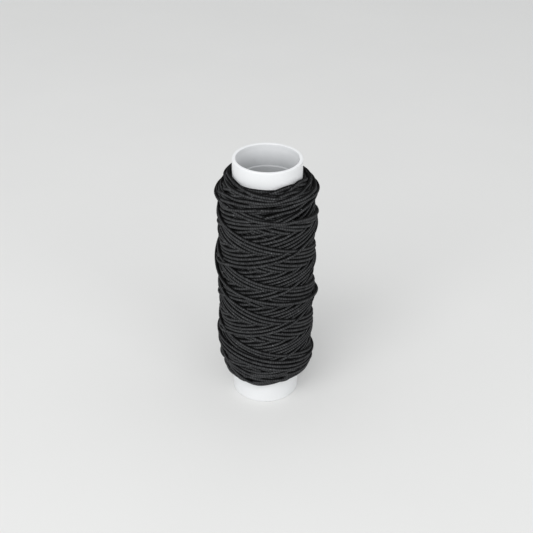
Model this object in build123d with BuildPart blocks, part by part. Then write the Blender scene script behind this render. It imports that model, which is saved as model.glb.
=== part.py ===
"""A small hand-sewing thread spool: a hollow moulded tube with one long thread cross-wound over it.

The tube stands upright on z = 0, with its axis on +Z. The front of the spool faces -Y.
"""

import os
from math import cos, radians

from build123d import *

# Driving dimensions, in millimetres and degrees
TUBE_HEIGHT = 63.0
TUBE_RADIUS = 8.0
MOUTH_RADIUS = 7.2  # the wider end of the bore, where a holder's plug goes in
MOUTH_DEPTH = 5.4
BORE_RADIUS = 6.9  # the bore between the two mouths, where a spindle goes through
OUTER_RIM_ROUND = 0.2
INNER_RIM_ROUND = 0.15
STEP_CHAMFER = 0.15  # on the step between a mouth and the bore

THREAD_DIAMETER = 0.9
WINDING_BOTTOM = 5.6  # where the winding leaves the tube's wall, below and above
WINDING_TOP = 59.2
WINDING_RADIUS = 11.8  # at the fullest part of its barrel
BARREL_BOTTOM_RADIUS = 11.4
BARREL_TOP_RADIUS = 11.6
BARREL_BOTTOM = WINDING_BOTTOM + 8.0
BARREL_TOP = WINDING_TOP - 6.2

LOOSE_TURN_TILT = 15.0  # how steeply the last loose turn crosses the front
LOOSE_TURN_HEIGHT = 31.4  # its height at the front
LOOSE_TURN_START = -74.0  # where it comes free of the winding, in degrees from the front towards +X
LOOSE_TURN_SWEEP = 176.0

THREAD_END_TILT = 12.0
THREAD_END_HEIGHT = 15.0
THREAD_END_START = 158.0
THREAD_END_SWEEP = 40.0

CONTACT_GAP = 0.02  # keeps the loose thread off the packed winding


def wound_arc(surface_radius, height, tilt, start, sweep_angle):
    """A length of thread round the outside of the winding: part of a turn that leans down to +X."""
    turn_radius = (surface_radius + CONTACT_GAP + THREAD_DIAMETER / 2) / cos(radians(tilt))
    turn_plane = Plane(
        origin=(0, 0, height),
        x_dir=Vector(0, -1, 0),
        z_dir=Vector(0, 0, 1).rotate(Axis.Y, tilt),
    )
    with BuildPart() as arc:
        with BuildLine(turn_plane) as route:
            CenterArc((0, 0), turn_radius, start, sweep_angle)
        with BuildSketch(Plane(route.line @ 0, z_dir=route.line % 0)):
            Circle(THREAD_DIAMETER / 2)
        sweep()
    length = radians(sweep_angle) * turn_radius
    print(f"thread arc: {length:.1f} mm long, bent to a radius of {turn_radius:.2f} mm")
    return arc


os.makedirs("parts", exist_ok=True)

# The moulded tube: one wall, turned round Z, a little thinner at both mouths
with BuildPart() as core_tube:
    with BuildSketch(Plane.XY):
        Circle(TUBE_RADIUS)
        Circle(BORE_RADIUS, mode=Mode.SUBTRACT)
    extrude(amount=TUBE_HEIGHT)
    for mouth_plane in (Plane.XY, Plane.XY.offset(TUBE_HEIGHT - MOUTH_DEPTH)):
        with BuildSketch(mouth_plane):
            Circle(MOUTH_RADIUS)
        extrude(amount=MOUTH_DEPTH, mode=Mode.SUBTRACT)
    levels = core_tube.edges().filter_by(GeomType.CIRCLE).group_by(Axis.Z)
    rim_edges = levels[0] + levels[-1]
    step_edges = levels[1] + levels[-2]
    fillet(rim_edges.filter_by(lambda edge: edge.radius > MOUTH_RADIUS + INNER_RIM_ROUND), OUTER_RIM_ROUND)
    fillet(rim_edges.filter_by(lambda edge: edge.radius < MOUTH_RADIUS + INNER_RIM_ROUND), INNER_RIM_ROUND)
    chamfer(step_edges.filter_by(lambda edge: edge.radius < BORE_RADIUS + STEP_CHAMFER), STEP_CHAMFER)

# The packed winding: one closed body that fills out to the outer turns
with BuildPart() as thread_winding:
    with BuildSketch(Plane.XZ):
        with BuildLine():
            tube_wall = Line((TUBE_RADIUS, WINDING_TOP), (TUBE_RADIUS, WINDING_BOTTOM))
            lower_shoulder = ThreePointArc(
                tube_wall @ 1, (10.2, WINDING_BOTTOM + 2.8), (BARREL_BOTTOM_RADIUS, BARREL_BOTTOM)
            )
            barrel = ThreePointArc(
                lower_shoulder @ 1, (WINDING_RADIUS, 35.0), (BARREL_TOP_RADIUS, BARREL_TOP)
            )
            upper_shoulder = ThreePointArc(barrel @ 1, (11.1, WINDING_TOP - 2.6), (9.9, WINDING_TOP - 0.5))
            Line(upper_shoulder @ 1, tube_wall @ 0)
        make_face()
    revolve(axis=Axis.Z)

# The loose turn that stands proud across the front, and the thread's outer end at the back
loose_turn = wound_arc(
    WINDING_RADIUS, LOOSE_TURN_HEIGHT, LOOSE_TURN_TILT, LOOSE_TURN_START, LOOSE_TURN_SWEEP
)
thread_end = wound_arc(
    BARREL_BOTTOM_RADIUS, THREAD_END_HEIGHT, THREAD_END_TILT, THREAD_END_START, THREAD_END_SWEEP
)

core_tube.part.label = "core_tube"
thread_winding.part.label = "thread_winding"
loose_turn.part.label = "loose_turn"
thread_end.part.label = "thread_end"
export_step(core_tube.part, "parts/core_tube.step")
export_step(thread_winding.part, "parts/thread_winding.step")
export_step(loose_turn.part, "parts/loose_turn.step")
export_step(thread_end.part, "parts/thread_end.step")
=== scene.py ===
import math

import bpy
import numpy as np
from mathutils import Matrix, Vector


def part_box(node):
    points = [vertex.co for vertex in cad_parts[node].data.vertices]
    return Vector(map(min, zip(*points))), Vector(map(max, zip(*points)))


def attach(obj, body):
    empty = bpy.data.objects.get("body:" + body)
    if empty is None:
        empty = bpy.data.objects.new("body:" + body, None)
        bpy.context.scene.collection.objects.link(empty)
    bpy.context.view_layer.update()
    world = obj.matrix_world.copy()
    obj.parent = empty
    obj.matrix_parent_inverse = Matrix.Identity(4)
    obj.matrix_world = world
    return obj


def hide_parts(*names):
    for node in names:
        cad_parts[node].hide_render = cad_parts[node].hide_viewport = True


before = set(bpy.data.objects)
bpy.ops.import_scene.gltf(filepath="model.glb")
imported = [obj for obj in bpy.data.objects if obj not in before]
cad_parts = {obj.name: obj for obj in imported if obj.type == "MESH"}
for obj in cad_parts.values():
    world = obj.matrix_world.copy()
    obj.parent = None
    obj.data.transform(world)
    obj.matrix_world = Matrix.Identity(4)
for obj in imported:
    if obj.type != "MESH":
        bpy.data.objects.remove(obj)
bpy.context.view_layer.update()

MM = 0.001
FULL_TURN = 2 * math.pi
random = np.random.default_rng(20)

# The CAD frame's sizes, in millimetres: the script works in them, and MM makes metres of them
tube_box = [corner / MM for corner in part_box("core_tube")]
winding_box = [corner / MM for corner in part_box("thread_winding")]
TUBE_RADIUS = tube_box[1][0]
TUBE_TOP = tube_box[1][2]
WINDING_BOTTOM = winding_box[0][2]
WINDING_TOP = winding_box[1][2]
WINDING_RADIUS = winding_box[1][0]

# The thread
THREAD_DIAMETER = 0.9
THREAD_RADIUS = THREAD_DIAMETER / 2


# ---------------------------------------------------------------- camera

CAMERA_PITCH = math.radians(31.57)
CAMERA_ROLL = math.radians(0.56)
CAMERA_DISTANCE = 259.3
CAMERA_AIM_HEIGHT = 34.4
CAMERA_LENS = 73.8
CAMERA_SENSOR = 36.0


def make_camera():
    """The camera looks along +Y and down, rolled a little."""
    data = bpy.data.cameras.new("camera")
    data.lens = CAMERA_LENS
    data.sensor_width = CAMERA_SENSOR
    data.clip_start = 0.01
    data.clip_end = 10.0
    camera = bpy.data.objects.new("camera", data)
    bpy.context.scene.collection.objects.link(camera)
    back = Vector((0, -math.cos(CAMERA_PITCH), math.sin(CAMERA_PITCH)))
    level_right = Vector((1, 0, 0))
    level_up = back.cross(level_right)
    right = math.cos(CAMERA_ROLL) * level_right + math.sin(CAMERA_ROLL) * level_up
    up = back.cross(right)
    turn = Matrix((right, up, back)).transposed().to_4x4()
    place = Vector((0, 0, CAMERA_AIM_HEIGHT * MM)) + back * CAMERA_DISTANCE * MM
    camera.matrix_world = Matrix.Translation(place) @ turn
    bpy.context.scene.camera = camera


make_camera()


# ---------------------------------------------------------------- how the thread was wound

CYCLES = 36  # up and back down
CYCLE_TURNS = 5.5 + 0.026  # the half makes two bands, and the rest lays turns side by side
LAST_LOW_TURN = 38 / 360  # where the last regular turn at the bottom turns back up
START_HEIGHT = 2.5  # of the thread's inner end over the winding's bottom, so that the turns bury it
TAPER = 5.0  # how far from either end a pass may turn back

# Where the straight middles of two passes would meet, at first and at the end
STRAIGHT_LOW = (WINDING_BOTTOM + 0.1, WINDING_BOTTOM + 0.4)
STRAIGHT_HIGH = (WINDING_TOP + 1.2, WINDING_TOP - 1.0)

# The first cycles lay the top edge, some with an extra turn: extra turns, and heights over the winding's top
EDGE = ((1, -0.5), (1, -1.2), (0, -0.8), (0, 0.8), (0, -0.7), (0, 0.5))

# The last cycles all turn back behind, after an extra half turn
FINISH_CYCLES = 9
FINISH_HIGH = (WINDING_TOP + 0.9, WINDING_TOP - 3.2)  # from the first of them to the last
FINISH_ROOM = 1.0  # the hollow that the cycles before them leave for them
FINISH_PLACE = (WINDING_TOP - 3.8, 2.2)  # its middle height, and how far it reaches

# How each pass comes to rest
SAMPLES_PER_TURN = 720
CELL = 0.1  # of the height field, along the axis
HARDNESS = 0.05  # how much a turn rests on the highest thread under it, rather than on the mean
LIFT = (0.62, 0.14)  # of a turn's middle over the mean surface under it, at first and at the end
STIFFNESS = 16  # how long a stretch shares one bend, in samples
TENSION = 0.08  # how far the thread bridges hollows, from none to fully taut
SETTLE_REACH = 0.12  # how far a turn may slip sideways into a groove
STRAND_DEPTH = 0.15  # of the mean surface inside the outermost threads
LOOSE_RISE = 0.3  # how far the loose turn's middle is outside the fullest part of the winding

# The last pass, from where it leaves the top: turns from there, and heights
loose_box = [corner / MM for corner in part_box("loose_turn")]
LOOSE_FROM = 158 / 360
LOOSE_TO = 334 / 360
LAST_PASS = (
    (LOOSE_FROM, loose_box[1][2] - THREAD_RADIUS),
    (LOOSE_TO, loose_box[0][2] + THREAD_RADIUS),
    (450 / 360, WINDING_BOTTOM + 15.0),
)
LOOP_TURNS = 2.9  # of loops around the bottom after the last pass
LOOP_HEIGHTS = (WINDING_BOTTOM + 9.6, WINDING_BOTTOM + 6.1)
LOOP_TILT = 2.6
LOOP_LOW_SIDE = math.radians(100)
JOIN = (0.06, 0.02)  # turns over which the last pass takes up the height and radius before it


class Surface:
    """The winding's outer radius so far, over angle and height, which each new pass rests on and adds to."""

    def __init__(self):
        self.low = WINDING_BOTTOM - 4.0
        self.rows = int((WINDING_TOP + 4.0 - self.low) / CELL)
        self.levels = self.low + CELL * np.arange(self.rows)
        self.radius = np.full((SAMPLES_PER_TURN, self.rows), TUBE_RADIUS - 0.05)
        self.across = np.arange(-4, 5)
        self.profile = np.sqrt(THREAD_RADIUS**2 - (self.across * CELL) ** 2)

    def cells(self, step, height):
        row = np.round((height - self.low) / CELL).astype(int)[:, None] + self.across[None, :]
        column = np.broadcast_to((step % SAMPLES_PER_TURN)[:, None], row.shape)
        return column, row

    def contact(self, step, height, lift=0.0):
        """The radius at which a thread's middle would rest at each sample."""
        under = self.radius[self.cells(step, height)]
        hard = (under + 0.55 * self.profile).max(axis=1)
        soft = under.mean(axis=1) + lift
        return HARDNESS * hard + (1 - HARDNESS) * soft

    def add(self, step, height, radius):
        np.maximum.at(self.radius, self.cells(step, height), radius[:, None] + 0.95 * self.profile)

    def missing(self, share, height):
        """How far the winding is below its share of the final shape at a height."""
        full = final_radius(height) - STRAND_DEPTH
        want = np.sqrt(TUBE_RADIUS**2 + share * np.maximum(full**2 - TUBE_RADIUS**2, 0))
        room = FINISH_ROOM * min(1, (1 - share) * CYCLES / FINISH_CYCLES)
        want = want - room * np.exp(-(((height - FINISH_PLACE[0]) / FINISH_PLACE[1]) ** 2))
        return want - np.interp(height, self.levels, smooth(self.radius.mean(axis=0), 4))

    def lowest_place(self, share, low, high):
        """The height between low and high that is missing most."""
        place = np.linspace(low, high, 20)
        return place[np.argmax(self.missing(share, place) + random.normal(0, 0.1, len(place)))]


def final_radius(height):
    """The finished winding's radius at a height, from the CAD winding's outline."""
    return np.interp(height, outline[0], outline[1])


def read_outline(node):
    """The outline of a turned CAD node: heights and the largest radius at each, in millimetres."""
    points = [node.matrix_world @ vertex.co / MM for vertex in node.data.vertices]
    largest = {}
    for point in points:
        level = round(point.z, 1)
        largest[level] = max(largest.get(level, 0.0), math.hypot(point.x, point.y))
    levels = sorted(largest)
    return levels, [largest[level] for level in levels]


def smooth(values, width):
    """A running average with a bell-shaped weight, in samples."""
    reach = int(3 * width)
    weight = np.exp(-0.5 * (np.arange(-reach, reach + 1) / width) ** 2)
    padded = np.concatenate([np.full(reach, values[0]), values, np.full(reach, values[-1])])
    return np.convolve(padded, weight / weight.sum(), mode="valid")


def taut(contact, angle):
    """The path of a thread under tension over the contact radii: straight wherever nothing holds it up."""
    mean = contact.mean()
    along = mean * angle
    bow = along**2 / (2 * mean)
    level = contact - bow
    kept = []
    for i in range(len(level)):
        while len(kept) > 1:
            a, b = kept[-2], kept[-1]
            rise = (level[b] - level[a]) * (along[i] - along[a])
            if rise > (level[i] - level[a]) * (along[b] - along[a]):
                break
            kept.pop()
        kept.append(i)
    return np.interp(along, along[kept], level[kept]) + bow


def between(pair, share):
    return pair[0] + share * (pair[1] - pair[0])


def wander(count):
    """A slow, small drift off the guide's line that fades out at both ends of a pass."""
    noise = smooth(random.normal(0, 1, count), 70)
    noise *= 0.07 / max(noise.std(), 1e-6)
    noise += random.normal(0, 0.05)
    fade = np.minimum(1, 10 * np.minimum(np.arange(count), np.arange(count)[::-1]) / count)
    return noise * fade


def settle(surface, step, height, fade):
    """Lets a turn slip a little sideways, down into the grooves beside it."""
    for _ in range(2):
        slope = surface.contact(step, height + 0.2) - surface.contact(step, height - 0.2)
        height = height + fade * np.clip(-0.7 * smooth(slope, 14), -SETTLE_REACH, SETTLE_REACH)
    return height


def rest(surface, step, height, share):
    """The radius a pass takes up: between sagging and bridging, and pressed in where there is too much."""
    error = np.interp(height, surface.levels, surface.missing(share, surface.levels))
    lift = between(LIFT, share**2) + np.clip(0.8 * error, -0.35 * (1.4 - share), 0.2)
    contact = surface.contact(step, height, lift)
    bridged = taut(contact, step / SAMPLES_PER_TURN * FULL_TURN)
    return smooth(contact + TENSION * (bridged - contact), STIFFNESS)


def guide_height(turn, turns, done, low, high):
    """The guide's height in a pass from low up to high: straight in the middle, easing over at both ends."""
    straight_low = between(STRAIGHT_LOW, done)
    slope = (between(STRAIGHT_HIGH, done) - straight_low) / (CYCLE_TURNS / 2)
    straight_high = straight_low + slope * turns
    ease_low = 2 * (low - straight_low) / slope
    ease_high = 2 * (straight_high - high) / slope
    starting = low + slope * turn**2 / (2 * ease_low)
    ending = high - slope * (turns - turn) ** 2 / (2 * ease_high)
    straight = straight_low + slope * turn
    return np.where(turn < ease_low, starting, np.where(turn > turns - ease_high, ending, straight))


def lay_pass(surface, first, turns, done, low, high, rising):
    """Lays one pass from turn number first on, and returns its samples of step, height and radius."""
    step = np.arange(round(first * SAMPLES_PER_TURN), round((first + turns) * SAMPLES_PER_TURN))
    share = (np.arange(len(step)) + 0.5) / len(step)
    height = guide_height((share if rising else 1 - share) * turns, turns, done, low, high)
    height = height + wander(len(step))
    height = settle(surface, step, height, np.minimum(1, 8 * np.minimum(share, 1 - share)))
    radius = rest(surface, step, height, done)
    surface.add(step, height, radius)
    return step, height, radius


def lay_passes(surface):
    """The regular passes between the two ends, up and down."""
    laid = []
    first = LAST_LOW_TURN - CYCLES * CYCLE_TURNS
    low = WINDING_BOTTOM + START_HEIGHT
    for cycle in range(CYCLES + 1):
        done = (cycle + 0.5) / (CYCLES + 0.5)
        turns = CYCLE_TURNS / 2
        left = CYCLES - cycle
        in_front = math.cos((first + turns) * FULL_TURN) > 0
        if left < FINISH_CYCLES and in_front:
            turns += 0.5
            high = between(FINISH_HIGH, 1 - left / FINISH_CYCLES)
        elif cycle < len(EDGE):
            turns += EDGE[cycle][0]
            high = WINDING_TOP + EDGE[cycle][1]
        else:
            high = surface.lowest_place(done, WINDING_TOP - TAPER, between(STRAIGHT_HIGH, done) - 0.1)
        laid.append(lay_pass(surface, first, turns, done, low, high, True))
        first += turns
        if left:
            low = surface.lowest_place(done, between(STRAIGHT_LOW, done) + 0.2, WINDING_BOTTOM + TAPER)
            laid.append(lay_pass(surface, first, turns, done, low, high, False))
            first += turns
    return laid


def lay_last_turns(surface, laid):
    """The last pass down, with its loose turn, and the loops around the bottom that the thread ends in."""
    before = laid[-1]
    turns = LAST_PASS[-1][0] + LOOP_TURNS
    step = before[0][-1] + 1 + np.arange(int(turns * SAMPLES_PER_TURN))
    turn = (step - step[0]) / SAMPLES_PER_TURN
    angle = step / SAMPLES_PER_TURN * FULL_TURN
    looped = np.clip((turn - LAST_PASS[-1][0]) / LOOP_TURNS, 0, 1)
    loops = between(LOOP_HEIGHTS, looped) - LOOP_TILT * np.cos(angle - LOOP_LOW_SIDE)
    knots = ((0, before[1][-1]),) + LAST_PASS
    down = np.interp(turn, [knot[0] for knot in knots], [knot[1] for knot in knots])
    height = smooth(np.where(turn < LAST_PASS[-1][0], down, loops), 40)
    height += (before[1][-1] - height[0]) * np.exp(-turn / JOIN[0])
    radius = rest(surface, step, height, 1.0)
    loose = np.minimum(turn - LOOSE_FROM, LOOSE_TO - turn)
    raised = smooth(np.where(loose > 0, WINDING_RADIUS + LOOSE_RISE, radius), 25)
    radius = np.maximum(radius, raised)
    radius += (before[2][-1] - radius[0]) * np.exp(-turn / JOIN[1])
    laid.append((step, height, radius))


def wind():
    """Lays the whole thread, and returns its step, height and radius at every sample."""
    surface = Surface()
    laid = lay_passes(surface)
    lay_last_turns(surface, laid)
    return [np.concatenate(part) for part in zip(*laid)]


outline = read_outline(bpy.data.objects["thread_winding"])
steps, heights, radii = wind()


# ---------------------------------------------------------------- the thread

CONTROL_STEP = 20  # samples to each control point of the route: 36 points a turn
ROUTE_RESOLUTION = 3  # rings to each control point
BURIED_TURNS = 80  # the innermost turns, which nothing shows, have half as many rings
SIDES = 8
STRAND_ACROSS = 0.43  # half the thread's width, along the winding's surface
STRAND_THROUGH = 0.42  # and half its thickness, as it is pressed a little flat


def route_points(steps, heights, radii):
    """The control points of the thread's route, from its inner end to its outer end."""
    kept = np.append(np.arange(0, len(steps) - CONTROL_STEP // 2, CONTROL_STEP), len(steps) - 1)
    angle = steps[kept] / SAMPLES_PER_TURN * FULL_TURN
    radius = radii[kept]
    return np.stack([radius * np.sin(angle), -radius * np.cos(angle), heights[kept]], axis=1) * MM


def centre_line(points):
    """Points along the NURBS spline that has these control points."""
    curve = bpy.data.curves.new("thread_route", "CURVE")
    curve.dimensions = "3D"
    curve.resolution_u = ROUTE_RESOLUTION
    spline = curve.splines.new("NURBS")
    spline.points.add(len(points) - 1)
    weighted = np.hstack([points, np.ones((len(points), 1))])
    spline.points.foreach_set("co", weighted.ravel())
    spline.order_u = 3
    spline.use_endpoint_u = True
    route = bpy.data.objects.new("thread_route", curve)
    mesh = bpy.data.meshes.new_from_object(route)
    line = np.empty(len(mesh.vertices) * 3)
    mesh.vertices.foreach_get("co", line)
    bpy.data.objects.remove(route)
    bpy.data.curves.remove(curve)
    bpy.data.meshes.remove(mesh)
    return line.reshape(-1, 3)


def unit(vectors):
    return vectors / np.linalg.norm(vectors, axis=1, keepdims=True)


def tube_mesh(name, line, width, thickness):
    """A closed tube along a line around the Z axis. Its UV is its length in millimetres, and its girth."""
    along = unit(np.gradient(line, axis=0))
    outward = line * (1, 1, 0)
    outward = unit(outward - along * (outward * along).sum(axis=1, keepdims=True))
    aside = np.cross(along, outward)
    girth = np.arange(SIDES) / SIDES * FULL_TURN
    ring = (
        aside[:, None, :] * (np.cos(girth)[None, :] * width[:, None])[:, :, None]
        + outward[:, None, :] * (np.sin(girth)[None, :] * thickness[:, None])[:, :, None]
    )
    vertices = (line[:, None, :] + ring).reshape(-1, 3)
    count = len(line)
    first = np.arange(count - 1)[:, None] * SIDES
    side = np.arange(SIDES)[None, :]
    after = (side + 1) % SIDES
    quads = np.stack([first + side, first + after, first + SIDES + after, first + SIDES + side], axis=2)
    faces = quads.reshape(-1, 4)[:, ::-1].tolist()
    faces.append(list(range(SIDES)))
    faces.append(list(range((count - 1) * SIDES, count * SIDES))[::-1])
    mesh = bpy.data.meshes.new(name)
    mesh.from_pydata(vertices, [], faces)
    length = np.concatenate([[0], np.cumsum(np.linalg.norm(np.diff(line, axis=0), axis=1))]) / MM
    u = np.stack([length[:-1], length[:-1], length[1:], length[1:]], axis=1)[:, None, :]
    u = np.broadcast_to(u, (count - 1, SIDES, 4))
    v = np.broadcast_to(np.stack([side[0], side[0] + 1, side[0] + 1, side[0]], axis=1) / SIDES, u.shape)
    uv = np.stack([u, v], axis=3).reshape(-1, 4, 2)[:, ::-1].reshape(-1, 2)
    caps = np.zeros((2 * SIDES, 2))
    layer = mesh.uv_layers.new(name="UVMap")
    layer.uv.foreach_set("vector", np.concatenate([uv, caps]).ravel())
    mesh.shade_smooth()
    return mesh


def make_thread():
    """The whole thread as one closed tube, from its start on the bare tube to its loose end at the back."""
    line = centre_line(route_points(steps, heights, radii))
    rings = np.arange(len(line))
    buried = BURIED_TURNS * SAMPLES_PER_TURN // CONTROL_STEP * ROUTE_RESOLUTION
    line = line[(rings > buried) | (rings % 2 == 0)]
    swell = 1 + 0.03 * smooth(random.normal(0, 1, len(line)), 3) / 0.3
    width = STRAND_ACROSS * MM * swell
    thickness = STRAND_THROUGH * MM * swell
    ends = np.minimum(np.arange(len(line)), np.arange(len(line))[::-1])
    rounding = np.sqrt(1 - (1 - np.minimum(ends + 0.3, 1.5) / 1.5) ** 2)
    mesh = tube_mesh("thread", line, width * rounding, thickness * rounding)
    thread = bpy.data.objects.new("thread", mesh)
    bpy.context.scene.collection.objects.link(thread)
    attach(thread, "root")
    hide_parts("thread_winding", "loose_turn", "thread_end")
    return thread


thread = make_thread()


# ---------------------------------------------------------------- materials


class Shader:
    """A material under construction: nodes by short calls, wired to one principled shader."""

    def __init__(self, name, **values):
        self.material = bpy.data.materials.new(name)
        self.material.use_nodes = True
        self.tree = self.material.node_tree
        self.main = self.tree.nodes["Principled BSDF"]
        self.set(self.main, values)

    def set(self, node, values):
        for name, value in values.items():
            socket = node.inputs[name.replace("_", " ")]
            if isinstance(value, bpy.types.NodeSocket):
                self.tree.links.new(value, socket)
            else:
                socket.default_value = value

    def node(self, kind, settings=None, **values):
        node = self.tree.nodes.new(kind)
        for name, value in (settings or {}).items():
            setattr(node, name, value)
        self.set(node, values)
        return node

    def math(self, operation, first, second=0.0, clamp=False):
        node = self.node("ShaderNodeMath", {"operation": operation, "use_clamp": clamp})
        for socket, value in zip(node.inputs, (first, second)):
            if isinstance(value, bpy.types.NodeSocket):
                self.tree.links.new(value, socket)
            else:
                socket.default_value = value
        return node.outputs[0]

    def ramp(self, factor, low, high):
        """A smooth change from one colour to another with a factor."""
        node = self.node("ShaderNodeMix", {"data_type": "RGBA"})
        self.tree.links.new(factor, node.inputs[0])
        node.inputs[6].default_value = (*low, 1)
        node.inputs[7].default_value = (*high, 1)
        return node.outputs[2]


def place_noise(shader, scale, detail=2.0, roughness=0.5):
    """Noise in object space, with its scale in lumps a millimetre."""
    place = shader.node("ShaderNodeTexCoord").outputs["Object"]
    settings = {"Scale": scale / MM, "Detail": detail, "Roughness": roughness}
    return shader.node("ShaderNodeTexNoise", Vector=place, **settings).outputs["Fac"]


RIB_LENGTH = 0.55  # of one rib of the thread's covering, along the thread
LINT_ABOVE = 0.67  # the noise over which a speck of lint shows
WALL_RADIUS = TUBE_RADIUS - 0.45  # between the tube's outside and the inside of its mouths
SHADE_DEPTH = 5.6  # how far down the mouths the plastic is painted fully grey, as shade
SHADE_REACH = 4.2  # and over what length the painted shade comes in


def thread_material():
    """Soft black thread, wrapped in fine fibres that make small ribs across it; painted shade darkens its
    sides and underside between the strands, and its outward side is painted lighter.
    """
    shader = Shader(
        "black_thread",
        Roughness=0.8,
        Specular_IOR_Level=0.05,
        Sheen_Weight=0.02,
        Sheen_Roughness=0.5,
    )
    uv = shader.node("ShaderNodeTexCoord").outputs["UV"]
    parts = shader.node("ShaderNodeSeparateXYZ", Vector=uv).outputs
    fuzz = place_noise(shader, 9.0, 3.0, 0.6)
    phase = shader.math("ADD", shader.math("MULTIPLY", parts["X"], 1 / RIB_LENGTH), parts["Y"])
    mottle = place_noise(shader, 0.9, 3.0, 0.6)
    phase = shader.math("ADD", phase, shader.math("MULTIPLY", fuzz, 0.8))
    phase = shader.math("ADD", phase, mottle)
    wave = shader.math("SINE", shader.math("MULTIPLY", phase, FULL_TURN))
    rib = shader.math("MULTIPLY_ADD", wave, 0.5)
    rib.node.inputs[2].default_value = 0.5
    # Painted shade: the colour falls from the thread's outward side to near black on its sides and
    # underside, where the strands shade the gaps between them
    outer = shader.math("SINE", shader.math("MULTIPLY", parts["Y"], FULL_TURN))
    outer = shader.math("POWER", shader.math("MAXIMUM", outer, 0.0), 3.0)
    tone_and_painted_shade = shader.math("MULTIPLY", mottle, shader.math("ADD", shader.math("MULTIPLY", rib, 1.25), 0.8))
    tone_and_painted_shade = shader.math("MULTIPLY", tone_and_painted_shade, outer, clamp=True)
    lint = shader.math("SUBTRACT", place_noise(shader, 2.2, 2.0, 0.5), LINT_ABOVE)
    lint = shader.math("MULTIPLY", lint, 12.0, clamp=True)
    tone_and_painted_shade = shader.math("ADD", shader.math("MULTIPLY", tone_and_painted_shade, 0.36), shader.math("MULTIPLY", lint, 0.66))
    # From near black where painted shade falls between the strands to a painted lit grey on the strands'
    # outward faces; the lint specks are real
    shader.set(shader.main, {"Base Color": shader.ramp(tone_and_painted_shade, (0.001, 0.001, 0.0011), (0.178, 0.182, 0.188))})
    height = shader.math("ADD", shader.math("MULTIPLY", rib, 0.6), shader.math("MULTIPLY", fuzz, 0.7))
    bump = shader.node("ShaderNodeBump", Height=height, Distance=0.05 * MM, Strength=0.9)
    shader.set(shader.main, {"Normal": bump.outputs["Normal"]})
    return shader.material


def plastic_material():
    """White moulded plastic that lets a little light through, with shade painted grey down in the bore."""
    shader = Shader(
        "white_plastic",
        Subsurface_Weight=0.2,
        Subsurface_Scale=1.5 * MM,
        Subsurface_Radius=(1.0, 1.0, 1.0),
        IOR=1.49,
        Specular_IOR_Level=0.4,
    )
    cloud = place_noise(shader, 0.25, 4.0, 0.55)
    grain = place_noise(shader, 3.0, 3.0, 0.6)
    place = shader.node("ShaderNodeTexCoord").outputs["Object"]
    parts = shader.node("ShaderNodeSeparateXYZ", Vector=place).outputs
    across = [shader.math("MULTIPLY", parts[axis], parts[axis]) for axis in "XY"]
    radius = shader.math("SQRT", shader.math("ADD", across[0], across[1]))
    outside = shader.math("MULTIPLY", shader.math("SUBTRACT", radius, WALL_RADIUS * MM), 20 / MM, clamp=True)
    # Painted shade: inside the bore the plastic's colour turns grey with depth below either mouth, while the
    # outside stays white
    middle = shader.math("ABSOLUTE", shader.math("SUBTRACT", parts["Z"], TUBE_TOP / 2 * MM))
    fade = shader.math("SUBTRACT", middle, (TUBE_TOP / 2 - SHADE_DEPTH) * MM)
    fade = shader.math("MULTIPLY", fade, 1 / (SHADE_REACH * MM), clamp=True)
    painted_shade_mix = shader.math("MAXIMUM", outside, fade)
    painted_shade_mix = shader.math("SUBTRACT", painted_shade_mix, shader.math("MULTIPLY", cloud, 0.12), clamp=True)
    shader.set(shader.main, {"Base Color": shader.ramp(painted_shade_mix, (0.48, 0.49, 0.50), (0.80, 0.81, 0.82))})
    rough = shader.math("MULTIPLY_ADD", grain, 0.15)
    rough.node.inputs[2].default_value = 0.33
    shader.set(shader.main, {"Roughness": rough})
    bump = shader.node("ShaderNodeBump", Height=grain, Distance=0.01 * MM, Strength=0.5)
    shader.set(shader.main, {"Normal": bump.outputs["Normal"]})
    return shader.material


def floor_material():
    """Pale matt card."""
    shader = Shader("pale_card", Roughness=0.7, Specular_IOR_Level=0.2)
    cloud = place_noise(shader, 0.02, 3.0, 0.5)
    shader.set(shader.main, {"Base Color": shader.ramp(cloud, (0.74, 0.74, 0.73), (0.77, 0.77, 0.76))})
    return shader.material


def give_material(piece, material):
    piece.data.materials.clear()
    piece.data.materials.append(material)


give_material(thread, thread_material())
give_material(bpy.data.objects["core_tube"], plastic_material())


# ---------------------------------------------------------------- floor and light

FLOOR_SIZE = 3.0


def make_floor():
    mesh = bpy.data.meshes.new("floor")
    half = FLOOR_SIZE / 2
    corners = [(-half, -half, 0), (half, -half, 0), (half, half, 0), (-half, half, 0)]
    mesh.from_pydata(corners, [], [(0, 1, 2, 3)])
    floor = bpy.data.objects.new("floor", mesh)
    bpy.context.scene.collection.objects.link(floor)
    give_material(floor, floor_material())


def add_light(name, place, size, power):
    """A soft square light that faces the middle of the spool."""
    data = bpy.data.lights.new(name, "AREA")
    data.shape = "SQUARE"
    data.size = size
    data.energy = power
    light = bpy.data.objects.new(name, data)
    bpy.context.scene.collection.objects.link(light)
    place = Vector(place)
    light.location = place
    light.rotation_euler = (place - Vector((0, 0, TUBE_TOP * MM / 2))).to_track_quat("Z", "Y").to_euler()


def light_scene():
    add_light("key_light", (-0.24, -0.54, 0.54), 0.6, 3.5)
    add_light("fill_light", (0.34, -0.5, 0.46), 0.4, 0.8)
    world = bpy.data.worlds.new("soft_room")
    world.use_nodes = True
    sky = world.node_tree.nodes["Background"]
    sky.inputs["Color"].default_value = (0.98, 0.99, 1.0, 1)
    sky.inputs["Strength"].default_value = 0.685
    bpy.context.scene.world = world


make_floor()
light_scene()
bpy.context.scene.view_settings.view_transform = "Standard"
